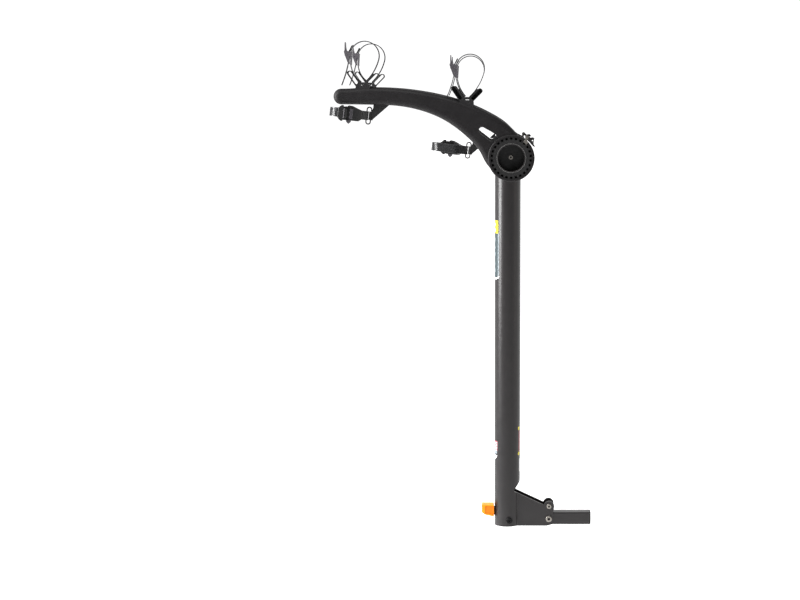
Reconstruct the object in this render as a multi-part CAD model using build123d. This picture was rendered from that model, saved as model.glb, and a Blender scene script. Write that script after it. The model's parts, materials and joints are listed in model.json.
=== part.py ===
"""Two-bike hitch rack: a round mast on a tilting foot, with two folding arched arms.

Millimetres. +X points to the vehicle, +Y to the far arm and +Z up. The origin is the
hitch bolt's hole, on the centre line of the square receiver shank.
"""
from build123d import *
from math import atan2, cos, degrees, hypot, radians, sin
import os

# ---------------------------------------------------------------- driving dimensions
SHANK = 31.75                # side of the square shank, for a 1-1/4 in receiver
SHANK_WALL = 4.0
SHANK_CORNER = 3.5
SHANK_FRONT = 38.0           # shank's free end
SHANK_REAR = -82.0
SHANK_CAP = 4.0              # thickness of the plastic cap on the free end
TAIL_R = 22.0                # round tail of the shank, about the tilt pivot
HITCH_BOLT_R = 6.35          # 1/2 in hitch bolt
TILT_X, TILT_Z = -66.8, 0.0  # tilt pivot
UPPER_X, UPPER_Z = -66.4, 31.6
FOOT_BOTTOM = -17.9

MAST_X = -170.4              # mast's centre line
MAST_R = 31.75
MAST_WALL = 3.0
NOTCH_X = -153.5             # mast's front wall is slotted back to here
PLATE_IN, PLATE_OUT = 16.4, 20.4   # foot plates, inner and outer faces
PEDAL_X, PEDAL_Z = -165.3, -1.9    # pedal pivot
LOCK_Z = 12.0                # lock pin's centre line

HUB_X, HUB_Z = -164.8, 903.2       # cross tube's centre line
HUB_R = 55.5
CROSS_R = 34.925             # 2-3/4 in cross tube
CROSS_WALL = 3.0
CROSS_HALF = 159.0
ARM_Y = 135.0                # arms' middle planes
ARM_HALF = 20.0              # half the arm's thickness
HUB_HALF = 25.0              # half the hub's thickness
CUP_R = 49.0                 # cup in the hub's outer face, for the index ring
CUP_DEEP = 16.0
RING_TEETH = 26

RUN_FIT = 0.06               # radial running clearance of pins in bores
GAP = 0.3                    # clearance between faces that slide past each other

STRAP_T = 2.2                # ladder strap's thickness
STRAP_HALF = 10.5            # half its width
SADDLE_T = 5.0               # rubber under the straps, in the cradle's V
CRADLE_HALF = 17.0           # half the cradle's width
HOOP_R = 34.0                # strap hoop's radius over the bike's top tube
OUTER_VALLEY = (-515.3, 1084.4)    # bottom of the outer cradle's V
INNER_VALLEY = (-270.0, 1048.5)
OUTER_HOOP = (4.5, 59.3)     # hoop centres, from the valley
INNER_HOOP = (8.0, 65.0)
TAIL_REACH = {OUTER_HOOP: (-15.5, -48), INNER_HOOP: (-14.5, -43)}  # tail, below its buckle
HOOP_START = -15.0           # where the hoop meets its root in the V, degrees
HOOP_END = 167.0             # where the hoop runs straight into its buckle
BUCKLE_RUN = 30.0            # straight length of strap through the buckle

SWAY_X, SWAY_Z = -502.5, 1003.0    # outer anti-sway ring's centre
INNER_SWAY_SHIFT = (234.5, -91.0)  # from the outer ring to the inner ring
SWAY_DROOP = 7.0             # slope of the anti-sway strap, degrees
WIRE_R = 1.6


# ---------------------------------------------------------------- small helpers
def pin(x, z, r, y0, y1):
    """Cylinder along Y."""
    return Pos(x, (y0 + y1) / 2, z) * Rot(90, 0, 0) * Cylinder(r, abs(y1 - y0))


def slab(face, y0, y1):
    """Face drawn in X and Z, made solid from y0 to y1."""
    half = abs(y1 - y0) / 2
    return Pos(0, (y0 + y1) / 2, 0) * extrude(Plane.XZ * face, amount=half, both=True)


def plate(points, y0, y1, corner=0.0):
    """Slab from an outline's corners, rounded by corner."""
    face = Polygon(*points, align=None)
    if corner:
        face = fillet(face.vertices(), corner)
    return slab(face, y0, y1)


def block(x0, x1, y0, y1, z0, z1):
    """Box between two corners."""
    return Pos((x0 + x1) / 2, (y0 + y1) / 2, (z0 + z1) / 2) * Box(x1 - x0, y1 - y0, z1 - z0)


def hull(*circles):
    """Face round circles given as (x, z, r)."""
    edges = [edge for x, z, r in circles for edge in (Pos(x, z) * Circle(r)).edges()]
    return make_hull(edges)


def on_hub(angle, r=HUB_R):
    """Point round the hub's centre, at an angle from +X towards +Z."""
    return (HUB_X + r * cos(radians(angle)), HUB_Z + r * sin(radians(angle)))


def radial_box(angle, r0, r1, half, y0, y1):
    """Box along a radius of the hub, from r0 to r1, half is half its width."""
    box = Pos((r0 + r1) / 2, (y0 + y1) / 2, 0) * Box(r1 - r0, y1 - y0, 2 * half)
    return Pos(HUB_X, 0, HUB_Z) * Rot(0, -angle, 0) * box


def rounded(solid, radius):
    """Solid with the edges of its two side faces rounded."""
    sides = solid.faces().sort_by(Axis.Y)
    return fillet(sides[0].edges() + sides[-1].edges(), radius)


def button_bolt(x, z, r, head_r, y_head, y_end):
    """Button-head bolt along Y, with its head outside y_head and a hex socket."""
    side = 1 if y_head > y_end else -1
    tall = 0.55 * head_r
    shank = pin(x, z, r, y_head, y_end)
    head = pin(x, z, head_r, y_head, y_head + side * tall)
    rim = head.edges().filter_by(GeomType.CIRCLE).sort_by(Axis.Y)
    head = fillet(rim[-1] if side > 0 else rim[0], 0.4 * tall)
    socket = slab(Pos(x, z) * RegularPolygon(0.45 * head_r, 6), y_head + side * 0.3 * tall,
                  y_head + side * 2 * tall)
    return shank + head - socket


def hex_nut(x, z, r, y0, y1):
    """Plain nut along Y on a bolt of radius r."""
    body = slab(Pos(x, z) * RegularPolygon(1.9 * r, 6), y0, y1)
    return body - pin(x, z, r, y0 - 1, y1 + 1)


parts = {}


# ---------------------------------------------------------------- foot
def square_bar(x0, x1):
    face = fillet(Rectangle(SHANK, SHANK).vertices(), SHANK_CORNER)
    return Pos(x0, 0, 0) * extrude(Plane.YZ * face, amount=x1 - x0)


def make_shank():
    inside = SHANK / 2 - SHANK_WALL
    end = SHANK_FRONT - SHANK_CAP
    tube = square_bar(SHANK_REAR, end)
    tube -= block(SHANK_REAR - 1, end + 1, -inside, inside, -inside, inside)
    tube -= pin(TILT_X, TILT_Z, 5.0 + RUN_FIT, -20, 20)
    tube -= pin(0, 0, HITCH_BOLT_R, 0, 20)
    parts["receiver_shank"] = tube

    nut = block(-11, 11, -4, inside, -10.8, 10.8)
    parts["hitch_thread_block"] = nut - pin(0, 0, HITCH_BOLT_R, -5, inside + 1)

    snug = inside - 0.4
    stem = block(end - 8, end, -snug, snug, -snug, snug)
    parts["shank_end_plug"] = square_bar(end, SHANK_FRONT) + stem

    strike = block(SHANK_REAR, SHANK_REAR + 8, -snug, snug, -snug, snug)
    tail = block(SHANK_REAR - 12, SHANK_REAR, -14, 14, -15, 15)
    tail &= pin(TILT_X, TILT_Z, TAIL_R, -15, 15)
    socket = Pos(SHANK_REAR, 0, LOCK_Z - 4) * Rot(0, 90, 0) * Cylinder(4.6, 12)
    parts["strike_block"] = strike + tail - socket


def make_mast():
    top = HUB_Z
    height = top - FOOT_BOTTOM
    tube = Pos(MAST_X, 0, FOOT_BOTTOM + height / 2) * Cylinder(MAST_R, height)
    tube -= Pos(MAST_X, 0, FOOT_BOTTOM + height / 2) * Cylinder(MAST_R - MAST_WALL, height)
    tube -= pin(HUB_X, HUB_Z, CROSS_R, -60, 60)
    slot = plate([(NOTCH_X, -30), (NOTCH_X, 74.4), (-120, 74.4), (-120, -30)],
                 -PLATE_OUT, PLATE_OUT)
    tube -= slot
    tube -= plate([(NOTCH_X, 69.8), (NOTCH_X, 74.4), (-138.4, 94.2), (-120, 94.2),
                   (-120, 54.1)], -40, 40)
    tube -= block(-210, -190, -7, 7, -12, 33)
    tube -= pin(PEDAL_X, PEDAL_Z, 4.0, -40, 40)
    parts["mast_tube"] = tube

    disc = Pos(MAST_X, 0, FOOT_BOTTOM + 1.5) * Cylinder(MAST_R - MAST_WALL, 3)
    parts["mast_foot_cap"] = disc - slot


def make_foot_plates():
    ear = (UPPER_X, UPPER_Z, 13.1)
    outline = [(-158, FOOT_BOTTOM), (-71, FOOT_BOTTOM), (-58.4, -14.0), (-56.6, 6),
               (-57.6, 24), (-76, 33.6), (-82, 36.3), (-158, 71.9)]
    face = Polygon(*outline, align=None) + hull(ear, (UPPER_X, 12, 9.5))
    keep = block(NOTCH_X, -40, -40, 40, -30, 100)
    pair = []
    for side in (-1, 1):
        cheek = slab(face, side * PLATE_IN, side * PLATE_OUT) & keep
        for x, z, r in ((TILT_X, TILT_Z, 5.0), (UPPER_X, UPPER_Z, 4.0)):
            cheek -= pin(x, z, r, -30, 30)
        pair.append(cheek)
    parts["foot_plates"] = Compound(pair)


def make_foot_bolts():
    out = PLATE_OUT
    tilt = button_bolt(TILT_X, TILT_Z, 5.0, 8.0, -out, out + 9)
    upper = button_bolt(UPPER_X, UPPER_Z, 4.0, 6.2, -out, out + 8)
    parts["foot_bolts"] = Compound([tilt, upper])
    nuts = [hex_nut(TILT_X, TILT_Z, 5.0, out, out + 7),
            hex_nut(UPPER_X, UPPER_Z, 4.0, out, out + 6)]
    parts["foot_nuts"] = Compound(nuts)
    sleeve = pin(UPPER_X, UPPER_Z, 7.0, -PLATE_IN, PLATE_IN)
    parts["foot_spacer"] = sleeve - pin(UPPER_X, UPPER_Z, 4.0, -20, 20)


# ---------------------------------------------------------------- tilt lock and pedal
PIN_R = 4.0
PIN_TIP = TILT_X - TAIL_R - 0.4
GUIDE_REAR = (-140.0, -131.0)
GUIDE_FRONT = (-103.0, -94.0)
COLLAR = (-114.0, -110.0)
LEVER_ARM = LOCK_Z - PEDAL_Z
SPRING_COIL_R, SPRING_WIRE_R, SPRING_TURNS = 6.6, 0.9, 5


def along_x(x0, x1, r, z=LOCK_Z):
    return Pos((x0 + x1) / 2, 0, z) * Rot(0, 90, 0) * Cylinder(r, x1 - x0)


def make_tilt_lock():
    plunger = along_x(PEDAL_X + 9, PIN_TIP, PIN_R)
    plunger = chamfer(plunger.edges().sort_by(Axis.X)[-1], 0.8)
    plunger += along_x(*COLLAR, 7.5)
    eye = block(PEDAL_X - 4.5, PEDAL_X + 10, -2.6, 2.6, LOCK_Z - 4.0, LOCK_Z + 4.0)
    cross_pin = pin(PEDAL_X, LOCK_Z, 2.6, -8, 8)
    parts["lock_pin"] = plunger + eye + cross_pin

    guides = []
    for x0, x1 in (GUIDE_REAR, GUIDE_FRONT):
        guide = block(x0, x1, -PLATE_IN, PLATE_IN, LOCK_Z - 9, LOCK_Z + 9)
        guides.append(guide - along_x(x0 - 1, x1 + 1, PIN_R + RUN_FIT))
    parts["lock_guides"] = Compound(guides)

    length = COLLAR[0] - GUIDE_REAR[1] - 2 * SPRING_WIRE_R - 0.4
    coil = Helix(pitch=length / SPRING_TURNS, height=length, radius=SPRING_COIL_R)
    wire = Plane(origin=coil @ 0, z_dir=coil % 0) * Circle(SPRING_WIRE_R)
    spring = sweep(wire, path=coil)
    start = GUIDE_REAR[1] + SPRING_WIRE_R + 0.2
    parts["lock_spring"] = Pos(start, 0, LOCK_Z) * Rot(0, 90, 0) * spring


def make_pedal():
    boss = pin(PEDAL_X, PEDAL_Z, 8.0, -6, 6)
    stem = plate([(-222, 10), (-222, 29), (-200, 27), (-172, 6), (-168, -9), (-176, -9),
                  (-196, 6)], -6, 6, 1.5)
    lever = boss + stem
    lever -= pin(PEDAL_X, PEDAL_Z, 4.0 + RUN_FIT, -10, 10)
    for y0, y1 in ((-7.0, -3.0), (3.0, 7.0)):
        fork = slab(hull((PEDAL_X, PEDAL_Z, 7.0), (PEDAL_X, LOCK_Z + 2, 6.5)), y0, y1)
        fork -= pin(PEDAL_X, PEDAL_Z, 4.0 + RUN_FIT, -10, 10)
        fork -= slab(hull((PEDAL_X, LOCK_Z + 1.2, 2.9), (PEDAL_X, LOCK_Z - 1.6, 2.9)), -10, 10)
        lever += fork
    lever -= block(PEDAL_X - 14, PEDAL_X + 14, -3.0, 3.0, LOCK_Z - 5.2, LOCK_Z + 12)
    parts["pedal_lever"] = lever

    outline = [(-234, 34), (-203.6, 34), (-203.6, 4), (-226, 9), (-234, 15)]
    pad = plate(outline, -14, 14, 2.0)
    for side in (-1, 1):
        inset = [(-226.5, 31), (-204, 31), (-204, 8), (-226.5, 12)]
        pad -= plate(inset, side * 12.5, side * 15, 1.0)
    parts["pedal_pad"] = pad - stem

    bolt = button_bolt(PEDAL_X, PEDAL_Z, 4.0, 8.0, -32.2, 40)
    seat = pin(PEDAL_X, PEDAL_Z, 7.9, -32.2, -26) - Pos(MAST_X, 0, 0) * Cylinder(MAST_R, 60)
    parts["pedal_bolt"] = bolt + seat
    parts["pedal_nut"] = hex_nut(PEDAL_X, PEDAL_Z, 4.0, MAST_R + 0.6, MAST_R + 7)


# ---------------------------------------------------------------- cross tube and rings
def make_head():
    tube = pin(HUB_X, HUB_Z, CROSS_R, -CROSS_HALF, CROSS_HALF)
    parts["cross_tube"] = tube - pin(HUB_X, HUB_Z, CROSS_R - CROSS_WALL, -200, 200)

    rings, plugs, screws = [], [], []
    for side in (-1, 1):
        outer = side * (ARM_Y + HUB_HALF - 1.5)
        inner = side * (ARM_Y + HUB_HALF - CUP_DEEP + 0.5)
        ring = pin(HUB_X, HUB_Z, CUP_R - GAP, inner, outer)
        ring -= pin(HUB_X, HUB_Z, CROSS_R, inner - side, outer + side)
        for i in range(RING_TEETH):
            angle = (i + 0.5) * 360 / RING_TEETH
            ring -= radial_box(angle, 43.6, 52, 2.9, min(outer, inner) - 1,
                               max(outer, inner) + 1)
        rings.append(ring)
        bore = CROSS_R - CROSS_WALL
        plug = pin(HUB_X, HUB_Z, bore, side * 98, side * 102)
        plug += pin(HUB_X, HUB_Z, 9, side * 102, side * 104)
        plugs.append(plug - pin(HUB_X, HUB_Z, 3.0, side * 90, side * 110))
        screws.append(button_bolt(HUB_X, HUB_Z, 3.0, 6.0, side * 104, side * 80))
    parts["index_rings"] = Compound(rings)
    parts["tube_plugs"] = Compound(plugs)
    parts["plug_screws"] = Compound(screws)


# ---------------------------------------------------------------- arm (middle plane at y = 0, outside towards -Y)
TRIGGER_ANGLE = 132.0
TIP_X, TIP_Z, TIP_R = -566.5, 1048.2, 18.6
RIM_START, RIM_END = 60, 214       # where the arm's edges leave the hub's rim, degrees


def arm_face():
    """Arm seen from its side."""
    start, end = on_hub(RIM_START, HUB_R - 1), on_hub(RIM_END, HUB_R - 1)
    top = [start, (-167.5, 977.2), (-210, 1005.8), (-253, 1026.2), (-324, 1049.6),
           (-395, 1063.2), (-466, 1069.6), (-520, 1069.4), (TIP_X, TIP_Z + TIP_R)]
    low = [(TIP_X, TIP_Z - TIP_R), (-494.6, 1028.8), (-438, 1026.4), (-381, 1015.8),
           (-324, 992.9), (-267, 950.6), (-238.7, 918.0), (-223, 889.0), end]
    leave = (-sin(radians(RIM_START)), cos(radians(RIM_START)))
    arrive = (-sin(radians(RIM_END)), cos(radians(RIM_END)))
    upper = Spline(top, tangents=[leave, (-1, 0)])
    tip = ThreePointArc((TIP_X, TIP_Z + TIP_R), (TIP_X - TIP_R, TIP_Z), (TIP_X, TIP_Z - TIP_R))
    lower = Spline(low, tangents=[(1, 0), arrive])
    rim = ThreePointArc(end, on_hub(-45, HUB_R - 1), start)
    return make_face([upper, tip, lower, rim])


def window_face():
    return hull((-233.5, 968.0, 8.3), (-208.0, 951.0, 10.3))


def make_arm():
    blade = rounded(slab(arm_face(), -ARM_HALF, ARM_HALF), 12.0)
    drum = rounded(pin(HUB_X, HUB_Z, HUB_R, -HUB_HALF, HUB_HALF), 3.0)
    arm = blade + drum
    arm -= slab(window_face(), -40, 40)
    arm -= pin(HUB_X, HUB_Z, CUP_R, -HUB_HALF - 1, -HUB_HALF + CUP_DEEP)
    arm -= pin(HUB_X, HUB_Z, CROSS_R + RUN_FIT, -40, 40)
    arm -= radial_box(TRIGGER_ANGLE, CUP_R - 2, 57, 3.9, -22.9, -10.1)
    return arm


def make_trigger():
    finger = slab(hull((-233.5, 968.0, 6.4), (-208.0, 951.0, 8.4)), -17, 15)
    finger &= radial_box(TRIGGER_ANGLE, 54.3, 63, 12, -20, 20)
    return finger + radial_box(TRIGGER_ANGLE, CUP_R + 0.3, 58, 3.5, -22.5, -10.5)


STOP_X, STOP_Z = -127.5, 953.5     # stop lever's pivot on the hub's upper edge


def make_stop():
    """Steel bracket riveted to the hub's outer face, and the hooked lever on its pin."""
    face = Polygon((-136.7, 942.0), (-132.0, 949.5), (-132.0, 955.5), (-128.0, 957.6),
                   (-124.0, 955.5), (-123.6, 951.0), (-127.6, 946.6), (-124.9, 939.6),
                   (-128.9, 935.4), align=None)
    bracket = slab(fillet(face.vertices(), 0.8), -HUB_HALF - 1.6, -HUB_HALF)
    bracket += pin(STOP_X, STOP_Z, 1.8, -HUB_HALF - 2.6, -8)
    bracket += pin(-131.0, 941.2, 1.8, -HUB_HALF - 2.6, -HUB_HALF)

    hook = Polygon((-124.4, 947.0), (-122.0, 949.9), (-117.5, 952.2), (-112.5, 952.2),
                   (-109.6, 949.4), (-111.2, 946.5), (-111.8, 940.4), (-111.8, 935.9),
                   (-108.4, 931.2), (-110.6, 929.4), (-115.2, 933.2), (-120.6, 939.0), align=None)
    outline = fillet(hook.vertices(), 0.6) + hull((STOP_X, STOP_Z, 3.2), (-120.5, 948.6, 2.0))
    lever = slab(outline, -HUB_HALF + GAP, -9)
    lever -= pin(STOP_X, STOP_Z, 1.8 + RUN_FIT, -60, 60)
    lever -= pin(-114.6, 944.6, 1.6, -60, 60)
    return bracket, lever - pin(HUB_X, HUB_Z, HUB_R + 0.8, -60, 60)


# ---------------------------------------------------------------- cradle and its strap
def make_cradle(valley, hoop, arm, open_ears):
    """V block with two looped ears; the valley is the bottom of the bike tube's seat."""
    left = ((-31.0, 18.7), (-11.5, -9.5))
    right = ((31.5, 12.8), (10.0, -9.0))
    body = Polygon((-15, -5.5), (-7, -3.2), (0, -2.6), (7, -3.2), (15, -5.5), (17, -30),
                   (-20, -30), align=None)
    v = slab(body, -CRADLE_HALF, CRADLE_HALF)
    for tip, root in (left, right):
        v += slab(hull((*tip, 6.0), (*root, 6.0)), -CRADLE_HALF, CRADLE_HALF)
    low = block(-40, 40, -CRADLE_HALF, CRADLE_HALF, -20, 17)
    for centre, r, first, turn in (strap_arcs(hoop)[1], strap_arcs(hoop)[4]):
        under = (centre, r + STRAP_T / 2 + SADDLE_T / 2, first, turn)
        v += slab(arc_band(under, SADDLE_T), -CRADLE_HALF, CRADLE_HALF) & low
    web = 1.0
    for tip, root in (left, right):
        reach = 0.78
        deep = (tip[0] + reach * (root[0] - tip[0]), tip[1] + reach * (root[1] - tip[1]))
        loop = hull((*tip, 4.0), (*deep, 4.0))
        if open_ears:
            v -= slab(loop, -40, 40)
        else:
            v -= slab(loop, -40, -web)
            v -= slab(loop, web, 40)
    v -= slab(hull((-3.5, -9.0, 1.7), (4.5, -9.0, 1.7)), -40, 40)
    for arc in (strap_arcs(hoop)[1], strap_arcs(hoop)[4]):
        v -= slab(arc_band(arc, STRAP_T), -STRAP_HALF - GAP, STRAP_HALF + GAP)
    v = Pos(valley[0], 0, valley[1]) * v
    v -= arm
    return v.solids().sort_by(SortBy.VOLUME)[-1]


def arc_from(start, heading, end):
    """Arc that leaves start along a unit heading and reaches end, as (centre, r, angle, turn)."""
    chord = (end[0] - start[0], end[1] - start[1])
    left = (-heading[1], heading[0])
    r = (chord[0] ** 2 + chord[1] ** 2) / (2 * (chord[0] * left[0] + chord[1] * left[1]))
    centre = (start[0] + r * left[0], start[1] + r * left[1])
    first = degrees(atan2(start[1] - centre[1], start[0] - centre[0]))
    last = degrees(atan2(end[1] - centre[1], end[0] - centre[0]))
    turn = (last - first) % 360 if r > 0 else -((first - last) % 360)
    return centre, abs(r), first, turn


def arc_band(arc, thickness):
    """Face of a given thickness along an arc."""
    centre, r, first, turn = arc
    inside = CenterArc(centre, r - thickness / 2, first, turn)
    outside = CenterArc(centre, r + thickness / 2, first, turn)
    return make_face([inside, outside, Line(inside @ 0, outside @ 0), Line(inside @ 1, outside @ 1)])


def strap_arcs(hoop):
    """Arcs of a strap's centre line from its valley: hoop, root, run, tail and anchor strap."""
    cx, cz = hoop
    low, high = radians(HOOP_START), radians(HOOP_END)
    start = (cx + HOOP_R * cos(low), cz + HOOP_R * sin(low))
    end = (cx + HOOP_R * cos(high), cz + HOOP_R * sin(high))
    down = (-sin(high), cos(high))
    leave = (end[0] + BUCKLE_RUN * down[0], end[1] + BUCKLE_RUN * down[1])
    hoop_arc = (hoop, HOOP_R, HOOP_START, HOOP_END - HOOP_START)
    root = arc_from(start, (sin(low), -cos(low)), (6.0, -1.4))
    reach = TAIL_REACH[hoop]
    tail = arc_from(leave, down, (leave[0] + reach[0], leave[1] + reach[1]))
    anchor = arc_from((end[0] + 0.3, end[1] - 29.6), (0.13, -0.9915), (-4.2, -1.0))
    return hoop_arc, root, (end, leave), tail, anchor


def run_band(run, thickness):
    """Straight band through the buckle."""
    (x0, z0), (x1, z1) = run
    long = hypot(x1 - x0, z1 - z0)
    slope = degrees(atan2(z1 - z0, x1 - x0))
    return Pos((x0 + x1) / 2, (z0 + z1) / 2) * Rot(0, 0, slope) * Rectangle(long, thickness)


def make_cradle_strap(valley, hoop):
    hoop_arc, root, run, tail, anchor = strap_arcs(hoop)
    face = arc_band(hoop_arc, STRAP_T) + arc_band(root, STRAP_T)
    face += run_band(run, STRAP_T)
    face += arc_band(tail, STRAP_T)
    ladder = slab(face, -STRAP_HALF, STRAP_HALF)
    short = slab(arc_band(anchor, STRAP_T), -STRAP_HALF, STRAP_HALF)
    place = Pos(valley[0], 0, valley[1])
    return Compound([place * ladder, place * short])


# ---------------------------------------------------------------- ratchet buckle
# Drawn with the strap running along +X and the buckle on its +Z side, then placed.
LEVER_PIN = (7.0, 8.6)
TAB_PIN = (0.6, 4.6)
CHEEK_IN, CHEEK_OUT = 12.4, 14.0
LEVER_HALF = 11.8


def make_buckle():
    """Base with two cheeks and a rear guard, lever and release tab of a ladder-strap buckle."""
    base = plate([(-2.5, -1.6), (-3, -3.8), (3, -4.4), (28, -8.6), (28.9, -5.6), (12, -2.6)],
                 -CHEEK_OUT, CHEEK_OUT, 0.5)
    for side in (-1, 1):
        cheek = [(-2.3, -3.2), (-1.5, 15.2), (2, 15.6), (13, 9), (27.8, -1.0), (26.8, -2.6),
                 (9.5, 0.4), (9.5, -2.0), (26.2, -5.6), (25.8, -8.2), (9.6, -5.2)]
        base += plate(cheek, side * CHEEK_IN, side * CHEEK_OUT, 0.5)
    base += plate([(12.5, 9.0), (11.5, 6.6), (21.5, 1.9), (23, 2.4)], -CHEEK_OUT, CHEEK_OUT, 0.3)
    base += pin(*LEVER_PIN, 1.5, -CHEEK_OUT - 0.8, CHEEK_OUT + 0.8)
    base += pin(*TAB_PIN, 1.0, -CHEEK_OUT - 0.5, CHEEK_OUT + 0.5)

    body = plate([(-1.5, 14.8), (-21, 18.6), (-20.8, 16.6), (-10, 13.6), (-2, 9.8),
                  (4, 6.2), (9.6, 5.6), (10, 9.5), (4, 12.6)], -LEVER_HALF, LEVER_HALF, 0.8)
    drum = pin(*LEVER_PIN, 4.2, -LEVER_HALF, LEVER_HALF)
    lever = body + drum - pin(*LEVER_PIN, 1.5 + RUN_FIT, -20, 20)

    tongue = plate([(0, 3.3), (-7.5, 1.2), (-16, -1.2), (-17.2, 1.4), (-8, 3.6), (0.4, 6.2)],
                   -7, 7, 0.6)
    tab = tongue + pin(*TAB_PIN, 2.0, -7, 7) - pin(*TAB_PIN, 1.0 + RUN_FIT, -20, 20)
    return base, lever, tab


def buckle_place(valley, hoop):
    """Plane of a cradle's buckle: +X down the strap, +Z away from the bike tube."""
    end = radians(HOOP_END)
    x = valley[0] + hoop[0] + HOOP_R * cos(end)
    z = valley[1] + hoop[1] + HOOP_R * sin(end)
    down = Vector(-sin(end), 0, cos(end))
    away = Vector(cos(end), 0, sin(end))
    return Plane(origin=(x, 0, z), x_dir=down, z_dir=away)


# ---------------------------------------------------------------- anti-sway strap
RING_HALF_X = 5.3                   # from the ring's middle to either leg
RING_HALF_Z = 19.8
LOOP_FACE = 24.0                    # from the loop's middle plane to its flat sides


def loop_face(thickness):
    """Loop seen from above: a band wrapped round three circles."""
    circles = ((SWAY_X - 69.0, 0, LOOP_FACE), (SWAY_X - 38.0, 0, LOOP_FACE - 1.4),
               (SWAY_X - 4.9, 0, 4.5))
    outside = hull(*circles)
    inside = hull(*[(x, y, r - thickness) for x, y, r in circles])
    return outside - inside


def tilt_about_ring(shape):
    """Slope a level anti-sway piece so that its free end stands a little higher."""
    return Pos(SWAY_X, 0, SWAY_Z) * Rot(0, SWAY_DROOP, 0) * Pos(-SWAY_X, 0, -SWAY_Z) * shape


def make_sway_ring():
    half = RING_HALF_X
    a = (SWAY_X + half, SWAY_Z - RING_HALF_Z + half)
    b = (SWAY_X + half, SWAY_Z + RING_HALF_Z - half)
    c = (SWAY_X - half, SWAY_Z + RING_HALF_Z - half)
    d = (SWAY_X - half, SWAY_Z - RING_HALF_Z + half)
    over = ThreePointArc(b, (SWAY_X, SWAY_Z + RING_HALF_Z), c)
    under = ThreePointArc(d, (SWAY_X, SWAY_Z - RING_HALF_Z), a)
    path = Plane.XZ * Wire([Line(a, b), over, Line(c, d), under])
    section = Plane(origin=path @ 0, z_dir=path % 0) * Circle(WIRE_R)
    return tilt_about_ring(sweep(section, path=path))


def make_sway_bracket(arm, shift=(0, 0)):
    """Strut under the arm, with an eye that the ring swings in."""
    strut = plate([(-494.8, 992.5), (-494.8, 1013), (-491.5, 1021), (-489.5, 1040),
                   (-448, 1040), (-446, 1034.5)], -7, 7)
    leg = Pos(SWAY_X + RING_HALF_X, 0, SWAY_Z)
    eye = tilt_about_ring(leg * Cylinder(RING_HALF_X, 20))
    bore = tilt_about_ring(leg * Cylinder(WIRE_R + RUN_FIT, 60))
    bracket = Pos(shift[0], 0, shift[1]) * (strut + eye - bore) - arm
    return bracket.solids().sort_by(Axis.X)[0]


def make_sway_strap():
    strip = extrude(loop_face(STRAP_T), amount=STRAP_HALF, both=True)
    return tilt_about_ring(Pos(0, 0, SWAY_Z - 0.5) * strip)


def make_sway_buckle():
    """Flat ratchet buckle with its lever closed, on the loop's outer face."""
    pivot, tab_pivot = (13.0, 6.5), (26.0, 4.6)
    base = plate([(-3, 0.3), (30, 0.3), (43.8, -4.2), (52, -9.5), (52.9, -8.1), (44.6, -2.8),
                  (30.3, 1.9), (-3, 1.9)], -20, 20)
    plan = Polygon((-3, 12), (14, 16), (23, 19.5), (31, 19), (52, 11), (53, 11), (53, -11),
                   (47, -15.5), (14, -16), (-3, -12), align=None)
    plan -= Pos(17.7, 17) * Circle(1.0)
    base &= extrude(plan, amount=12, both=True)
    for side in (-1, 1):
        cheek = [(3, 0.6), (6, 9), (13, 11), (20, 9), (25, 0.6)]
        base += plate(cheek, side * 13.6, side * 15.4, 0.8)
        base += plate([(23.5, 1), (24, 6.4), (28, 6.4), (29, 1)], side * 13, side * 15, 0.8)
    base += pin(*pivot, 1.5, -16, 16)
    base += pin(*tab_pivot, 1.0, -15, 15)

    half = [(-2, 9), (1, 15), (6, 18.6), (10.5, 18.6), (11.5, 13), (19.5, 10)]
    cover = Polygon(*half, *[(x, -y) for x, y in reversed(half)], align=None)
    lid = Pos(0, 0, 11.6) * extrude(fillet(cover.vertices(), 1.5), amount=3.0, dir=(0, 0, 1))
    lid = chamfer(lid.edges().group_by(Axis.Z)[-1], 0.8)
    lever = lid + slab(hull((*pivot, 3.4), (13, 11, 3.4)), -12.6, 12.6)
    lever -= pin(*pivot, 1.5 + RUN_FIT, -20, 20)

    tab = plate([(24, 3.4), (26.5, 2.8), (32.5, 4.6), (33, 7.4), (26, 6.8)], -12, 12, 0.6)
    tab = tab + pin(*tab_pivot, 2.0, -12, 12) - pin(*tab_pivot, 1.0 + RUN_FIT, -20, 20)
    return base, lever, tab


def sway_buckle_place():
    """Plane on the loop's outer face: +X towards the ring and +Z away from the arm."""
    x = SWAY_X - 69.0
    return Plane(origin=(x, -LOOP_FACE - 0.1, SWAY_Z - 0.5), x_dir=(1, 0, 0), z_dir=(0, -1, 0))


# ---------------------------------------------------------------- arms, left and right handed
def place_arm(shape, side):
    """Near arm as drawn at -Y; the far arm is its mirror image."""
    if side == "near":
        return Pos(0, -ARM_Y, 0) * shape
    return Pos(0, ARM_Y, 0) * mirror(shape, about=Plane.XZ)


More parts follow.
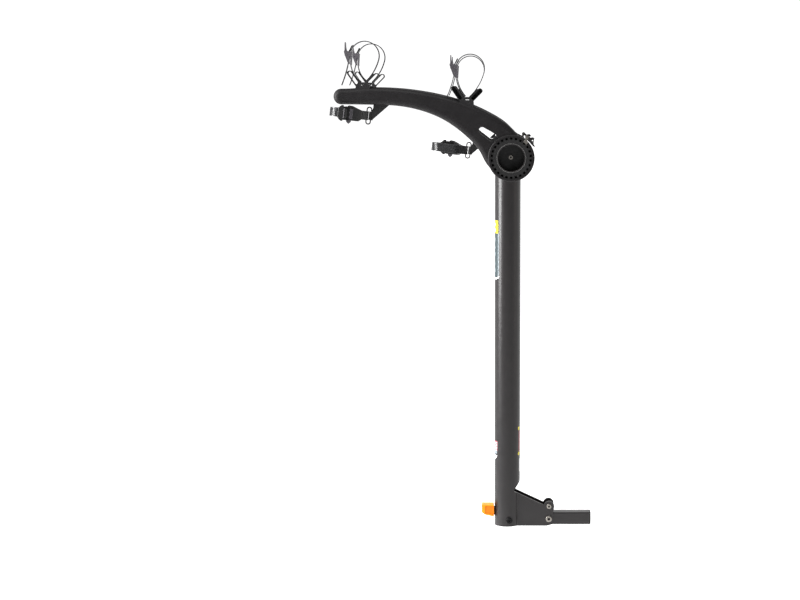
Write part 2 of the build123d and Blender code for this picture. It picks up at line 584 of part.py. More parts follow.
def make_arms():
    arm = make_arm()
    trigger = make_trigger()
    bracket, stop_lever = make_stop()
    base, lever, tab = make_buckle()
    sway_base, sway_lever, sway_tab = make_sway_buckle()
    cradles = {"outer": (OUTER_VALLEY, OUTER_HOOP, True), "inner": (INNER_VALLEY, INNER_HOOP, False)}
    for side in ("near", "far"):
        def keep(name, shape):
            parts[f"{name}_{side}"] = place_arm(shape, side)

        keep("arm", arm)
        keep("trigger", trigger)
        keep("stop_bracket", bracket)
        keep("stop_lever", stop_lever)
        seats = []
        for spot, (valley, hoop, open_ears) in cradles.items():
            seats.append(make_cradle(valley, hoop, arm, open_ears))
            keep(f"strap_{spot}", make_cradle_strap(valley, hoop))
            place = buckle_place(valley, hoop)
            keep(f"buckle_base_{spot}", place.location * base)
            keep(f"buckle_lever_{spot}", place.location * lever)
            keep(f"buckle_tab_{spot}", place.location * tab)
        keep("cradles", Compound(seats))

        shift = (0, 0) if side == "near" else INNER_SWAY_SHIFT
        move = Pos(shift[0], 0, shift[1])
        keep("sway_bracket", make_sway_bracket(arm, shift))
        keep("sway_ring", move * make_sway_ring())
        keep("sway_strap", move * make_sway_strap())
        spot = sway_buckle_place().location
        for name, piece in (("base", sway_base), ("lever", sway_lever), ("tab", sway_tab)):
            keep(f"sway_buckle_{name}", move * tilt_about_ring(spot * piece))


# ---------------------------------------------------------------- build
make_shank()
make_mast()
make_foot_plates()
make_foot_bolts()
make_tilt_lock()
make_pedal()
make_head()
make_arms()

os.makedirs("parts", exist_ok=True)
for node, shape in parts.items():
    export_step(shape, f"parts/{node}.step")
print(len(parts), "nodes")
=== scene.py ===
"""Looks of the hitch mounted bike rack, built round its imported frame.

Lengths are millimetres in the frame's axes until they reach a mesh, which is in metres.
+X points to the vehicle, +Y to the far arm and +Z up. Stage, lights and camera are in metres.
"""

import json
from bisect import bisect_right
from math import acos, atan2, cos, degrees, hypot, pi, radians, sin, sqrt

import bpy
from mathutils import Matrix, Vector


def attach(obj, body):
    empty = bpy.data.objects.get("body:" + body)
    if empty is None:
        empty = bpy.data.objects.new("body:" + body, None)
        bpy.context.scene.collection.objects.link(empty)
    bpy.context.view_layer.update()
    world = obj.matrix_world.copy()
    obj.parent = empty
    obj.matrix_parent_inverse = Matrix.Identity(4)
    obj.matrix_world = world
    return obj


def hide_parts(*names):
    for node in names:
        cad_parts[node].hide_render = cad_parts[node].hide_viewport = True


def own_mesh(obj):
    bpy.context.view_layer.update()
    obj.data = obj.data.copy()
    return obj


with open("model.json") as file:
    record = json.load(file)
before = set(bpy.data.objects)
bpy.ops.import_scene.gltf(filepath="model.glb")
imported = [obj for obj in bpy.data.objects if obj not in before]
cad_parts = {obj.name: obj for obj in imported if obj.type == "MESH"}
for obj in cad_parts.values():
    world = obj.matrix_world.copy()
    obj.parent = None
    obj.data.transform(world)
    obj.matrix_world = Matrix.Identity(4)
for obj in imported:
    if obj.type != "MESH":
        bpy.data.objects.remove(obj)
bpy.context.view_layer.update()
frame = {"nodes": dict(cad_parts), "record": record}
MM = 0.001

# ---------------------------------------------------------------- dimensions shared with the frame
SIDES = {"near": -1, "far": 1}
ARM_Y = 135.0                           # an arm's middle plane
MAST_X, MAST_R = -170.4, 31.75
FOOT_BOTTOM = -17.9
HUB_X, HUB_Z = -164.8, 903.2            # the axis the arms turn on
CROSS_R, CROSS_HALF = 34.925, 159.0     # cross tube
PLATE_OUT = 20.4                        # outer face of a foot plate
SOCKETS = ((-66.8, 0.0, -21.72, 3.5), (-66.4, 31.6, -21.42, 2.7),
           (-164.8, 903.2, -104.99, 2.6))    # hex sockets' floors as (x, z, y, r)
SOCKET_DEPTH = 0.3

# lock spring, along X from its seat to the pin's collar
LOCK_Z, COIL_START, COIL_LENGTH, COIL_TURNS = 12.0, -129.9, 14.8, 5
COIL_R, COIL_WIRE_R = 6.6, 0.9

# cradles and their ladder straps, as (x, z) from a cradle's valley
VALLEYS = {"outer": (-515.3, 1084.4), "inner": (-270.0, 1048.5)}
HOOPS = {"outer": (4.5, 59.3), "inner": (8.0, 65.0)}             # the strap's round part
TAIL_REACH = {"outer": (-15.5, -48), "inner": (-14.5, -43)}      # free end, from the buckle
HOOP_R, HOOP_START, HOOP_END = 34.0, -15.0, 167.0
BUCKLE_RUN = 30.0                       # the strap's straight part, through the buckle
LADDER_ROOT, ANCHOR_ROOT = (6.0, -1.4), (-4.2, -1.0)
ANCHOR_TOP, ANCHOR_HEADING = (0.3, -29.6), (0.13, -0.9915)       # from the hoop's end
TAIL_TAPER = 9.0                        # length of the rounded free end

# both kinds of strap
STRAP_HALF, STRAP_T, STRAP_SOFT = 10.5, 2.2, 0.35    # half width, thickness, edge's softening
RAIL = 1.7                              # width of a strap's two smooth edges
PITCH = 4.0                             # from tooth to tooth
TEETH = ((0.0, -0.35), (0.45, -0.35), (0.65, 0.95), (0.9, 0.95))    # (share of a pitch, height)

# anti-sway straps
SWAY_X, SWAY_Z, SWAY_DROOP = -502.5, 1003.0, 7.0
SWAY_SHIFTS = {"near": (0.0, 0.0), "far": (234.5, -91.0)}
SWAY_RISE = -0.5                        # middle of the strap's width, from its ring
LEAN = {"near": 0.0, "far": -0.5}       # slant of the anti-sway straps' teeth
LOOP_FACE = 24.0
LOOP_CIRCLES = ((-69.0, LOOP_FACE), (-38.0, LOOP_FACE - 1.4), (-4.9, 4.5))    # (x, radius)


# ---------------------------------------------------------------- materials
# A Mix node's colour sockets share their names with its other sockets, so they go by number.
MIX_SHARE, MIX_FIRST, MIX_SECOND, MIX_RESULT = 0, 6, 7, 2
MOTTLE_SCALE, ROUGH_SCALE = 38.0, 60.0    # cells a metre
# Width of the painted highlight laid on sharp edges.
EDGE_HIGHLIGHT_WIDTH = 0.0012                       # metres


def nodes_of(name):
    """New node material, with its tree and its shader."""
    made = bpy.data.materials.new(name)
    made.use_nodes = True
    tree = made.node_tree
    return made, tree, tree.nodes["Principled BSDF"]


def add(tree, kind, **values):
    """New node with some of its sockets or properties set."""
    node = tree.nodes.new(kind)
    for key, value in values.items():
        if key in node.inputs:
            node.inputs[key].default_value = value
        else:
            setattr(node, key, value)
    return node


def noise(tree, scale, detail=4.0, stretch=(1, 1, 1)):
    """Noise in the piece's own coordinates; scale is in cells a metre."""
    where = add(tree, "ShaderNodeTexCoord")
    size = add(tree, "ShaderNodeMapping", Scale=stretch)
    tree.links.new(where.outputs["Object"], size.inputs["Vector"])
    cloud = add(tree, "ShaderNodeTexNoise", Scale=scale, Detail=detail)
    tree.links.new(size.outputs["Vector"], cloud.inputs["Vector"])
    return cloud.outputs["Fac"]


def pebbles(tree, scale):
    """Cells like a moulded leather grain."""
    where = add(tree, "ShaderNodeTexCoord")
    cells = add(tree, "ShaderNodeTexVoronoi", Scale=scale)
    tree.links.new(where.outputs["Object"], cells.inputs["Vector"])
    return cells.outputs["Distance"]


def spread(tree, source, low, high, start=0.3, stop=0.7):
    """Source's part from start to stop, stretched to run from low to high."""
    span = add(tree, "ShaderNodeMapRange", **{"From Min": start, "From Max": stop,
                                              "To Min": low, "To Max": high})
    tree.links.new(source, span.inputs["Value"])
    return span.outputs["Result"]


def blend_colours(tree, share, first, second):
    """Colour that goes from first, a colour or a socket, to second with share."""
    mix = add(tree, "ShaderNodeMix", data_type="RGBA")
    if isinstance(first, tuple):
        mix.inputs[MIX_FIRST].default_value = (*first, 1)
    else:
        tree.links.new(first, mix.inputs[MIX_FIRST])
    mix.inputs[MIX_SECOND].default_value = (*second, 1)
    tree.links.new(share, mix.inputs[MIX_SHARE])
    return mix.outputs[MIX_RESULT]


def edges(tree, radius):
    """1 on sharp edges and 0 on flat faces, for a painted highlight on those edges."""
    soft = add(tree, "ShaderNodeBevel", Radius=radius, samples=4)
    true = add(tree, "ShaderNodeNewGeometry")
    dot = add(tree, "ShaderNodeVectorMath", operation="DOT_PRODUCT")
    tree.links.new(soft.outputs["Normal"], dot.inputs[0])
    tree.links.new(true.outputs["Normal"], dot.inputs[1])
    return spread(tree, dot.outputs["Value"], 0, 1, start=0.98, stop=0.80)


def finish_of(name, colour, mottle, rough, grain, depth, metal=0.0, leather=False,
              stretch=(1, 1, 1), edge_highlight=None, shine=0.5):
    """Surface with mottled colour, uneven roughness and grain, as the material NAME_finish.

    colour and mottle are the two ends of the mottling, as linear red, green and blue, rough
    the two ends of the roughness, grain the grain's cells a metre, depth its height in
    metres, edge_highlight the colour of a painted highlight on the sharp edges and shine the
    strength of the reflections.
    """
    made, tree, shader = nodes_of(f"{name}_finish")
    paint = blend_colours(tree, spread(tree, noise(tree, MOTTLE_SCALE), 0, 1), colour, mottle)
    # Sharp edges are mixed towards a lighter colour: a painted highlight where edges would catch
    # the light.
    if edge_highlight:
        paint = blend_colours(tree, edges(tree, EDGE_HIGHLIGHT_WIDTH), paint, edge_highlight)
    tree.links.new(paint, shader.inputs["Base Color"])
    uneven = spread(tree, noise(tree, ROUGH_SCALE, 6.0), *rough)
    tree.links.new(uneven, shader.inputs["Roughness"])
    shader.inputs["Metallic"].default_value = metal
    shader.inputs["Specular IOR Level"].default_value = shine
    relief = pebbles(tree, grain) if leather else noise(tree, grain, 3.0, stretch)
    bump = add(tree, "ShaderNodeBump", Distance=depth, Strength=1.0)
    tree.links.new(relief, bump.inputs["Height"])
    tree.links.new(bump.outputs["Normal"], shader.inputs["Normal"])
    return made


SLOTS = {name: finish_of(name, *values, **extras) for name, values, extras in (
    # The powder coat's sharp edges get a painted highlight, far lighter than the coat's own
    # colour.
    ("powder_coat", ((0.0070, 0.0057, 0.0060), (0.0090, 0.0075, 0.0079), (0.30, 0.37),
                     1500.0, 0.00003), dict(edge_highlight=(0.05, 0.045, 0.045), shine=0.34)),
    ("arm_plastic", ((0.005, 0.0044, 0.0048), (0.0075, 0.0068, 0.0072), (0.46, 0.58),
                     1500.0, 0.00007), dict(leather=True, shine=0.13)),
    ("black_plastic", ((0.004, 0.0038, 0.004), (0.006, 0.0058, 0.006), (0.34, 0.46),
                       900.0, 0.00005), dict(shine=0.3)),
    ("cradle_rubber", ((0.004, 0.0036, 0.004), (0.007, 0.0065, 0.007), (0.50, 0.65),
                       1100.0, 0.00008), dict(shine=0.2)),
    ("strap_plastic", ((0.013, 0.013, 0.014), (0.017, 0.017, 0.018), (0.22, 0.32),
                       800.0, 0.00003), dict(shine=0.45)),
    ("buckle_plastic", ((0.036, 0.033, 0.038), (0.046, 0.043, 0.048), (0.34, 0.46),
                        900.0, 0.00004), dict(shine=0.3)),
    ("yellow_plastic", ((0.70, 0.22, 0.001), (0.78, 0.27, 0.002), (0.34, 0.44),
                        700.0, 0.00005), dict(shine=0.25)),
    ("zinc_steel", ((0.15, 0.14, 0.128), (0.24, 0.225, 0.205), (0.16, 0.30),
                    900.0, 0.00003), dict(metal=1.0, stretch=(1, 1, 6))),
    ("black_oxide", ((0.0025, 0.0025, 0.0026), (0.004, 0.004, 0.0042), (0.34, 0.46),
                     1200.0, 0.00003), dict(shine=0.12)),
    ("spring_steel", ((0.38, 0.38, 0.39), (0.46, 0.46, 0.47), (0.25, 0.36),
                      1500.0, 0.00002), dict(metal=1.0)),
    ("black_wire", ((0.008, 0.0075, 0.008), (0.013, 0.0125, 0.013), (0.26, 0.36),
                    900.0, 0.00003), dict(shine=0.4)),
)}

# Films and trim have their own finish; the slot they are given is used only when a piece has no
# finish.
TRIM = {name: finish_of(name, *values, **extras) for name, values, extras in (
    ("print_yellow", ((0.46, 0.38, 0.001), (0.50, 0.42, 0.002), (0.35, 0.42),
                      900.0, 0.00001), {}),
    ("print_slate", ((0.014, 0.026, 0.030), (0.018, 0.031, 0.036), (0.35, 0.42),
                     900.0, 0.00001), {}),
    ("print_white", ((0.46, 0.46, 0.46), (0.52, 0.52, 0.52), (0.38, 0.46),
                     900.0, 0.00001), {}),
    ("print_red", ((0.42, 0.05, 0.07), (0.46, 0.06, 0.08), (0.38, 0.46),
                   900.0, 0.00001), {}),
    ("inset_orange", ((0.52, 0.13, 0.001), (0.58, 0.16, 0.001), (0.40, 0.50),
                      900.0, 0.00003), dict(shine=0.2)),
    ("rim_paint", ((0.075, 0.075, 0.073), (0.10, 0.10, 0.098), (0.30, 0.40),
                   900.0, 0.00002), {}),
    ("print_grey", ((0.17, 0.20, 0.22), (0.20, 0.23, 0.25), (0.38, 0.46),
                    900.0, 0.00001), {}),
)}

for entry in frame["record"]["subparts"]:
    shown = frame["nodes"][entry["node"]]
    shown.data.materials.clear()
    shown.data.materials.append(SLOTS[entry["material_slot"]])


# ---------------------------------------------------------------- making pieces
def make_piece(name, points, faces, body, slot, finish=None, smooth=True, crease=35.0):
    """Mesh piece from points in millimetres, which rides on a body."""
    mesh = bpy.data.meshes.new(name)
    mesh.from_pydata([Vector(p) * MM for p in points], [], faces)
    mesh.validate()
    mesh.update()
    piece = bpy.data.objects.new(name, mesh)
    bpy.context.scene.collection.objects.link(piece)
    mesh.materials.append(finish or SLOTS[slot])
    if smooth:
        mesh.shade_smooth()
        mesh.set_sharp_from_angle(angle=radians(crease))
    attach(piece, body)
    return piece


def loft(rings, closed=False):
    """Points and faces of a skin over rings of equal length, capped unless the loft is closed."""
    count = len(rings[0])
    points = [p for ring in rings for p in ring]
    faces = []
    spans = len(rings) if closed else len(rings) - 1
    for i in range(spans):
        a, b = i * count, (i + 1) % len(rings) * count
        for k in range(count):
            n = (k + 1) % count
            faces.append((a + k, b + k, b + n, a + n))
    if not closed:
        faces.append(tuple(range(count)))
        faces.append(tuple(reversed(range(len(points) - count, len(points)))))
    return points, faces


def arc_points(centre, r, first, turn, step=1.0):
    """Points along an arc, about step apart; angles in degrees."""
    count = max(2, round(abs(radians(turn)) * r / step))
    angles = [radians(first + turn * i / count) for i in range(count + 1)]
    return [(centre[0] + r * cos(a), centre[1] + r * sin(a)) for a in angles]


def line_points(a, b, step=1.0):
    """Points along a straight line, about step apart."""
    count = max(1, round(hypot(b[0] - a[0], b[1] - a[1]) / step))
    return [(a[0] + (b[0] - a[0]) * i / count, a[1] + (b[1] - a[1]) * i / count)
            for i in range(count + 1)]


def arc_from(start, heading, end):
    """Arc that leaves start along a unit heading and reaches end, as (centre, r, angle, turn)."""
    chord = (end[0] - start[0], end[1] - start[1])
    left = (-heading[1], heading[0])
    r = (chord[0] ** 2 + chord[1] ** 2) / (2 * (chord[0] * left[0] + chord[1] * left[1]))
    centre = (start[0] + r * left[0], start[1] + r * left[1])
    first = degrees(atan2(start[1] - centre[1], start[0] - centre[0]))
    last = degrees(atan2(end[1] - centre[1], end[0] - centre[0]))
    turn = (last - first) % 360 if r > 0 else -((first - last) % 360)
    return centre, abs(r), first, turn


def joined(*stretches):
    """One run of points from several that meet end to end."""
    path = list(stretches[0])
    for stretch in stretches[1:]:
        path += stretch[1:]
    return path


def measured(path, closed=False):
    """Length of a flat path, and a function from a distance along it to its point and normal.

    The normal points to the right of travel, and comes from the path a millimetre each way.
    """
    loop = path + [path[0]] if closed else path
    marks = [0.0]
    for p, q in zip(loop, loop[1:]):
        marks.append(marks[-1] + hypot(q[0] - p[0], q[1] - p[1]))
    total = marks[-1]

    def point(s):
        s = s % total if closed else min(max(s, 0.0), total)
        i = min(bisect_right(marks, s), len(marks) - 1)
        share = (s - marks[i - 1]) / (marks[i] - marks[i - 1])
        p, q = loop[i - 1], loop[i]
        return p[0] + share * (q[0] - p[0]), p[1] + share * (q[1] - p[1])

    def at(s):
        before, after = point(s - 1.0), point(s + 1.0)
        dx, dz = after[0] - before[0], after[1] - before[1]
        size = hypot(dx, dz)
        return point(s), (dz / size, -dx / size)

    return total, at


# ---------------------------------------------------------------- straps
def strap_section(face):
    """Outline of a strap's section as (across, out), round the points of its outer face."""
    half, thick, soft = STRAP_HALF, STRAP_T / 2, STRAP_SOFT
    inner = half - RAIL
    return [(-half + soft, -thick), (half - soft, -thick), (half, -thick + soft),
            (half, thick - soft), (half - soft, thick), (inner, thick), *face,
            (-inner, thick), (-half + soft, thick), (-half, thick - soft),
            (-half, -thick + soft)]


def ladder_section(height):
    """Section with a tooth's height on its outer face."""
    step = STRAP_HALF - RAIL - 0.15
    return strap_section([(step, height), (0.0, height), (-step, height)])


def plain_section(_height):
    """Section of a smooth strap, a little hollow between its edges."""
    step, level = STRAP_HALF - RAIL - 0.4, STRAP_T / 2 - 0.4
    return strap_section([(step, level), (-step, level)])


def strap_rings(path, section, place, closed=False, slant=0.0, taper=0.0):
    """Rings of a strap along a path, a few for each tooth.

    place turns (point of the path's plane, across) into a frame point, slant leans the teeth
    and taper is the length of the rounded free end.
    """
    total, at = measured(path, closed)
    count = round(total / PITCH)
    rings = []
    for i in range(count):
        for share, height in TEETH:
            distance = (i + share) * total / count
            narrow = 1.0
            if taper and total - distance < taper:
                narrow = sqrt(max(0.05, 1 - (1 - (total - distance) / taper) ** 2))
            ring = []
            for across, away in section(height):
                spot, out = at(distance + slant * across)
                flat = (spot[0] + away * out[0], spot[1] + away * out[1])
                ring.append(place(flat, across * narrow))
            rings.append(ring)
    return rings


def cradle_strap_paths(spot):
    """Ladder's and anchor strap's centre lines, from the valley of a cradle."""
    hoop = HOOPS[spot]
    low, high = radians(HOOP_START), radians(HOOP_END)
    start = (hoop[0] + HOOP_R * cos(low), hoop[1] + HOOP_R * sin(low))
    end = (hoop[0] + HOOP_R * cos(high), hoop[1] + HOOP_R * sin(high))
    down = (-sin(high), cos(high))
    leave = (end[0] + BUCKLE_RUN * down[0], end[1] + BUCKLE_RUN * down[1])
    root = arc_points(*arc_from(start, (sin(low), -cos(low)), LADDER_ROOT))
    over = arc_points(hoop, HOOP_R, HOOP_START, HOOP_END - HOOP_START)
    reach = TAIL_REACH[spot]
    tail = arc_points(*arc_from(leave, down, (leave[0] + reach[0], leave[1] + reach[1])))
    ladder = joined(root[::-1], over, line_points(end, leave), tail)
    top = (end[0] + ANCHOR_TOP[0], end[1] + ANCHOR_TOP[1])
    return ladder, arc_points(*arc_from(top, ANCHOR_HEADING, ANCHOR_ROOT))


def make_cradle_straps(spot, side):
    """Ladder strap over a bike's frame tube, and the short strap that holds its buckle."""
    valley = VALLEYS[spot]
    middle = SIDES[side] * ARM_Y

    def place(flat, across):
        return (valley[0] + flat[0], middle + across, valley[1] + flat[1])

    ladder, anchor = cradle_strap_paths(spot)
    body = f"arm_{side}"
    rings = strap_rings(ladder, ladder_section, place, taper=TAIL_TAPER)
    strap = make_piece(f"ladder_strap_{spot}_{side}", *loft(rings), body, "strap_plastic")
    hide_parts(f"strap_{spot}_{side}")
    make_piece(f"anchor_strap_{spot}_{side}", *loft(strap_rings(anchor, plain_section, place)),
               body, "strap_plastic")


def sway_loop_path():
    """Loop seen from above, as (x, y) from the ring, wrapped round three circles."""
    a, b, c = LOOP_CIRCLES
    middle, step = STRAP_T / 2, 1.2

    def lean(big, small):
        return degrees(acos((big[1] - small[1]) / (small[0] - big[0])))

    first, second = lean(a, b), lean(b, c)

    def bend(circle, start, stop):
        return arc_points((circle[0], 0), circle[1] - middle, start, stop - start, step)

    arcs = [bend(a, first, 360 - first), bend(b, 360 - first, 360 - second),
            bend(c, -second, second), bend(b, second, first)]
    path = []
    for arc, following in zip(arcs, arcs[1:] + arcs[:1]):
        path += arc
        path += line_points(arc[-1], following[0], step)[1:-1]
    return path


def sway_place(side):
    """Puts a point of the level sway strap where its side's loop hangs."""
    tilt = radians(SWAY_DROOP)
    dx, dz = SWAY_SHIFTS[side]
    sign = SIDES[side]

    def place(x, out, up):
        return (SWAY_X + x * cos(tilt) + up * sin(tilt) + dx, sign * (ARM_Y + out),
                SWAY_Z - x * sin(tilt) + up * cos(tilt) + dz)

    return place


def make_sway_strap(side):
    """Toothed loop that holds a bike's seat tube."""
    place = sway_place(side)
    rings = strap_rings(sway_loop_path(), ladder_section,
                        lambda flat, across: place(flat[0], flat[1], across + SWAY_RISE),
                        closed=True, slant=LEAN[side])
    loop = make_piece(f"sway_loop_{side}", *loft(rings, closed=True), f"sway_{side}",
                      "strap_plastic")
    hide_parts(f"sway_strap_{side}")


# ---------------------------------------------------------------- small solids
def bar(corners, y0, y1, soft=0.4):
    """Rings of a bar from y0 to y1 with softened ends; corners are its section."""
    cx = sum(c[0] for c in corners) / len(corners)
    cz = sum(c[1] for c in corners) / len(corners)
    rings = []
    for y, keep in ((y0, 0.8), (y0 + soft, 1.0), (y1 - soft, 1.0), (y1, 0.8)):
        rings.append([(cx + keep * (x - cx), y, cz + keep * (z - cz)) for x, z in corners])
    return rings


def half_round(x, z, width, height):
    """Section of a rib standing on z, as corners."""
    count, sunk = 6, 0.4
    return [(x + width / 2 * cos(pi * i / count), z + height * sin(pi * i / count))
            for i in range(count + 1)] + [(x - width / 2, z - sunk), (x + width / 2, z - sunk)]


def bead_rings(path, r, ripple=0.10):
    """Rings of a rod along points in space; ripple swells it like a weld bead."""
    sides, pitch = 8, 3.0
    rings, travelled = [], 0.0
    for i, p in enumerate(path):
        before, after = path[max(i - 1, 0)], path[min(i + 1, len(path) - 1)]
        along = (Vector(after) - Vector(before)).normalized()
        up = Vector((0, 0, 1)) if abs(along.z) < 0.9 else Vector((1, 0, 0))
        across = along.cross(up).normalized()
        lift = across.cross(along)
        swell = r * (1 + ripple * sin(2 * pi * travelled / pitch))
        rings.append([Vector(p) + swell * (across * cos(2 * pi * k / sides)
                                           + lift * sin(2 * pi * k / sides))
                      for k in range(sides)])
        travelled += (Vector(after) - Vector(p)).length
    return rings


def make_welds():
    """Beads between the mast and its foot plates, and round the cross tube's saddle."""
    bead, length = 1.9, 80
    seam_x = MAST_X + sqrt(MAST_R ** 2 - PLATE_OUT ** 2) + 0.3
    for label, side in SIDES.items():
        path = [(seam_x, side * (PLATE_OUT + 0.1), FOOT_BOTTOM + 2.5 + i)
                for i in range(length)]
        make_piece(f"plate_weld_{label}", *loft(bead_rings(path, bead)), "mast", "powder_coat")

    bead, proud, steps, gap = 2.2, 0.4, 60, 0.02
    reach = CROSS_R - 1.0
    first = acos((HUB_X - reach - MAST_X) / MAST_R) if reach < MAST_R else pi
    for label, side in SIDES.items():
        path = []
        for i in range(steps + 1):
            a = side * (gap + (first - 2 * gap) * i / steps)
            x = MAST_X + (MAST_R + proud) * cos(a)
            drop = sqrt(max(0.0, (CROSS_R + proud) ** 2 - (x - HUB_X) ** 2))
            path.append((x, (MAST_R + proud) * sin(a), HUB_Z - drop))
        make_piece(f"saddle_weld_{label}", *loft(bead_rings(path, bead)), "mast", "powder_coat")


def make_tube_rims():
    """Bare rim on each end of the cross tube, turned about the tube's axis."""
    sides = 96
    for label, side in SIDES.items():
        end = side * CROSS_HALF
        section = [(CROSS_R - 1.1, end - side * 0.5), (CROSS_R - 0.9, end + side * 0.25),
                   (CROSS_R - 0.3, end + side * 0.25), (CROSS_R - 0.1, end - side * 0.5)]
        rings = [[(HUB_X + r * cos(2 * pi * i / sides), y, HUB_Z + r * sin(2 * pi * i / sides))
                  for r, y in section] for i in range(sides)]
        make_piece(f"tube_rim_{label}", *loft(rings, closed=True), "mast", "zinc_steel",
                   TRIM["rim_paint"])


def make_lock_spring():
    """Coil round the lock pin, built at one length, with a mesh of its own."""
    steps = 24
    count = COIL_TURNS * steps
    path = []
    for i in range(count + 1):
        a = 2 * pi * i / steps
        path.append((COIL_START + COIL_LENGTH * i / count, COIL_R * sin(a),
                     LOCK_Z - COIL_R * cos(a)))
    spring = make_piece("lock_spring_coil", *loft(bead_rings(path, COIL_WIRE_R, ripple=0.0)),
                        "mast", "spring_steel")
    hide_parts("lock_spring")
    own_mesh(spring)


def make_pedal_inset():
    """Darker panel in the recess on each side of the pedal's pad."""
    outline = [(-226.1, 30.6), (-204.0, 30.6), (-204.0, 8.6), (-226.1, 12.4)]
    inner, outer = 12.4, 12.9
    for label, side in SIDES.items():
        rings = [[(x, side * y, z) for x, z in outline] for y in (inner, outer)]
        make_piece(f"pedal_inset_{label}", *loft(rings), "pedal", "yellow_plastic",
                   TRIM["inset_orange"], smooth=False)


def make_socket_floors():
    """Dark bottoms of the hex sockets in the bolt heads."""
    for i, (x, z, y, r) in enumerate(SOCKETS):
        rings = [[(x + r * cos(pi * k / 3), level, z + r * sin(pi * k / 3)) for k in range(6)]
                 for level in (y, y - SOCKET_DEPTH)]
        make_piece(f"socket_floor_{i}", *loft(rings), "mast", "black_oxide", smooth=False)


# ---------------------------------------------------------------- printed films
FILM, OVER_FILM = 0.12, 0.2    # height above the mast of a film, and of a mark on one
SUNK = 0.05                    # how far a film's back lies inside the mast's skin


def wrap(name, stations, lift, finish, turn=0.0):
    """Thin printed film on the mast. Stations are (z, angle, angle), in degrees from -X to -Y."""
    columns = 14
    rings = []
    for z, a0, a1 in stations:
        ring = []
        for r, order in ((MAST_R + lift, range(columns + 1)),
                         (MAST_R - SUNK, reversed(range(columns + 1)))):
            for k in order:
                a = radians(turn + a0 + (a1 - a0) * k / columns)
                ring.append((MAST_X - r * cos(a), -r * sin(a), z))
        rings.append(ring)
    make_piece(name, *loft(rings), "mast", "powder_coat", TRIM[finish], crease=60.0)


def make_badge():
    """Front badge: a cap, a strip with an edge and a few marks, and a tail."""
    wrap("badge_cap", [(751, -42, 2), (745, -42, 42), (714, -42, 42)], FILM, "print_yellow")
    wrap("badge_cap_mark_0", [(738, 2, 22), (731, 2, 17)], OVER_FILM, "print_white")
    wrap("badge_cap_mark_1", [(726, 2, 18), (718, 2, 24)], OVER_FILM, "print_white")
    wrap("badge_strip", [(714, -42, 42), (612, -42, 42), (604, -30, 30)], FILM, "print_slate")
    wrap("badge_edge", [(714, 41, 45), (610, 41, 45)], OVER_FILM, "print_grey")
    for i, (top, low) in enumerate(((702, 692), (680, 675), (667, 657), (641, 636), (626, 617))):
        wrap(f"badge_mark_{i}", [(top, 2, 20), (low, 2, 15)], OVER_FILM, "print_grey")
    wrap("badge_tail", [(609, 38, 50), (604, 4, 46), (600, 4, 30)], OVER_FILM, "print_white")


def make_patch():
    """Striped patch low on the mast, with a mark and an arrow under it."""
    top, pitch, stripe = 196, 4.1, 2.4
    for i in range(6):
        z = top - pitch * i
        wrap(f"patch_stripe_{i}", [(z, 2, 37), (z - stripe, 2, 37)], FILM, "print_red")
        wrap(f"patch_gap_{i}", [(z - stripe, 2, 37), (z - pitch, 2, 37)], FILM, "print_white")
    wrap("patch_mark", [(170, 4, 36), (164.5, 4, 36)], FILM, "print_grey")
    wrap("patch_arrow", [(161, 2, 38), (156, 6, 33), (151, 14, 24)], FILM, "print_white")


def make_rear_labels():
    """Two dots joined by a strip on the mast's rear, and a plain label."""
    for i, z in enumerate((228.0, 164.5)):
        wrap(f"rear_dot_{i}", [(z + 4, -6, 6), (z + 2, -9, 9), (z - 2, -9, 9), (z - 4, -6, 6)],
             0.15, "print_yellow", turn=155)
    wrap("rear_strip", [(222, -3, 3), (170, -3, 3)], FILM, "print_red", turn=158)
    wrap("rear_label", [(151, -22, 20), (118.5, -22, 20)], FILM, "print_white", turn=180)


# ---------------------------------------------------------------- buckles' ribs and trim
def buckle_place(spot, side):
    """Turns a point drawn on the buckle, as (along, across, away), into a frame point."""
    valley, hoop = VALLEYS[spot], HOOPS[spot]
    end = radians(HOOP_END)
    x = valley[0] + hoop[0] + HOOP_R * cos(end)
    z = valley[1] + hoop[1] + HOOP_R * sin(end)
    down, away = (-sin(end), cos(end)), (cos(end), sin(end))
    middle = SIDES[side] * ARM_Y

    def place(t, across, n):
        return (x + t * down[0] + n * away[0], middle + across, z + t * down[1] + n * away[1])

    return place


def place_bar(corners, half, place, soft=0.4):
    """Points and faces of a bar with this half length, put in the frame by place."""
    rings = bar(corners, -half, half, soft)
    return loft([[place(*point) for point in ring] for ring in rings])


def make_lever_ribs(spot, side):
    """Thumb ribs on a cradle buckle's lever, whose outer face slopes."""
    place = buckle_place(spot, side)
    for i in range(4):
        t = -19.0 + 3.2 * i
        face = 14.8 - (t + 1.5) * 3.8 / 19.5
        rib = half_round(t, face - 0.1, 1.5, 0.8)
        make_piece(f"lever_rib_{spot}_{side}_{i}", *place_bar(rib, 9.5, place),
                   f"buckle_lever_{spot}_{side}", "buckle_plastic")


def make_sway_lid_trim(side):
    """Raised ridge across the sway buckle's lid, and the wing below its base."""
    place = sway_place(side)
    origin = (LOOP_CIRCLES[0][0], LOOP_FACE + 0.1)

    def on_buckle(t, across, n):
        return place(origin[0] + t, origin[1] + n, across + SWAY_RISE)

    ridge = half_round(12.4, 14.5, 1.8, 1.0)
    make_piece(f"lid_ridge_{side}", *place_bar(ridge, 11.5, on_buckle, soft=1.2),
               f"sway_lever_{side}", "buckle_plastic")

    wing = [(17.5, -13.5), (30.5, -13.5), (30.0, -19.0), (25.0, -24.0), (19.5, -20.0)]
    rings = [[on_buckle(t, across, n) for t, across in wing] for n in (1.6, 3.4)]
    make_piece(f"base_wing_{side}", *loft(rings), f"sway_{side}", "buckle_plastic",
               smooth=False)


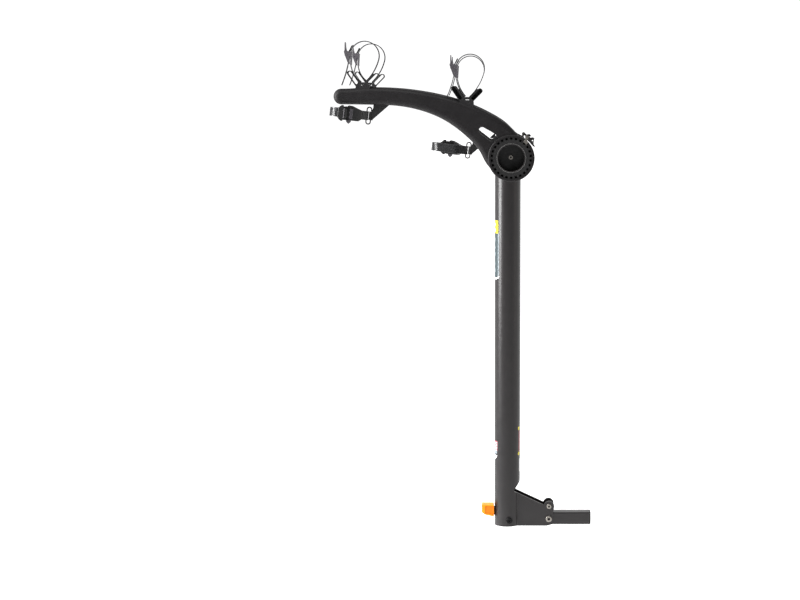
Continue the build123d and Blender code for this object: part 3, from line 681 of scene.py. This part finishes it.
# ---------------------------------------------------------------- pieces
make_welds()
make_tube_rims()
make_socket_floors()
make_lock_spring()
make_pedal_inset()
make_badge()
make_patch()
make_rear_labels()
for side in SIDES:
    make_sway_strap(side)
    make_sway_lid_trim(side)
    for spot in VALLEYS:
        make_cradle_straps(spot, side)
        make_lever_ribs(spot, side)


# ---------------------------------------------------------------- room, light and camera
FLOOR_HALF, FLOOR_Z, FLOOR_GLOW = 60.0, -0.45, 0.7
LENS, SENSOR, SHIFT_X = 82.53, 36.0, -0.0975                     # mm, mm, share of the width
CAMERA_PLACE, CAMERA_PITCH = (-0.24345, -4.505, 1.07015), 83.38    # degrees up from straight down
SOFTBOXES = (    # name, place, target, (width, height), watts, colour
    ("left_box", (-2.1, -0.52, 1.25), (-0.2, 0, 0.75), (0.75, 1.8), 150.0, (1, 1, 1)),
    ("top_box", (-0.4, -1.6, 3.2), (-0.3, 0, 0.8), (1.6, 1.2), 60.0, (1, 1, 1)),
    ("right_box", (2.2, -0.9, 0.9), (-0.1, 0, 0.6), (0.7, 1.6), 3.0, (1.0, 0.85, 0.75)),
)


def make_floor():
    """Pale floor a little below the rack, which hangs from its receiver."""
    mesh = bpy.data.meshes.new("floor")
    far, z = FLOOR_HALF, FLOOR_Z
    mesh.from_pydata([(-far, -far, z), (far, -far, z), (far, far, z), (-far, far, z)],
                     [], [(0, 1, 2, 3)])
    floor = bpy.data.objects.new("floor", mesh)
    bpy.context.scene.collection.objects.link(floor)
    made, tree, shader = nodes_of("floor_finish")
    paint = blend_colours(tree, noise(tree, 3.0), (0.88, 0.88, 0.88), (0.93, 0.93, 0.93))
    tree.links.new(paint, shader.inputs["Base Color"])
    shader.inputs["Roughness"].default_value = 0.9
    shader.inputs["Emission Color"].default_value = (1, 1, 1, 1)
    shader.inputs["Emission Strength"].default_value = FLOOR_GLOW
    mesh.materials.append(made)


def make_world():
    """White room, bright behind the rack and dimmer towards the front."""
    world = bpy.data.worlds.new("studio")
    bpy.context.scene.world = world
    world.use_nodes = True
    tree = world.node_tree
    back = tree.nodes["Background"]
    where = add(tree, "ShaderNodeTexCoord")
    split = add(tree, "ShaderNodeSeparateXYZ")
    tree.links.new(where.outputs["Generated"], split.inputs["Vector"])
    strength = spread(tree, split.outputs["Y"], 0.16, 1.1, start=-0.8, stop=0.6)
    tree.links.new(strength, back.inputs["Strength"])
    back.inputs["Color"].default_value = (1, 1, 1, 1)


def softbox(name, place, target, size, power, colour):
    """Area light at a place, pointing at a target."""
    lamp = bpy.data.lights.new(name, "AREA")
    lamp.shape = "RECTANGLE"
    lamp.size, lamp.size_y = size
    lamp.energy = power
    lamp.color = colour
    made = bpy.data.objects.new(name, lamp)
    made.location = place
    aim = Vector(target) - Vector(place)
    made.rotation_euler = aim.to_track_quat("-Z", "Y").to_euler()
    made.visible_camera = False
    bpy.context.scene.collection.objects.link(made)


def make_camera():
    """Long lens from the near side, slightly above the rack's middle."""
    lens = bpy.data.cameras.new("camera")
    lens.lens = LENS
    lens.sensor_width = SENSOR
    lens.shift_x = SHIFT_X
    lens.clip_end = 200.0
    camera = bpy.data.objects.new("camera", lens)
    camera.location = CAMERA_PLACE
    camera.rotation_euler = (radians(CAMERA_PITCH), 0, 0)
    bpy.context.scene.collection.objects.link(camera)
    bpy.context.scene.camera = camera


make_floor()
make_world()
for values in SOFTBOXES:
    softbox(*values)
make_camera()
bpy.context.scene.view_settings.view_transform = "Standard"
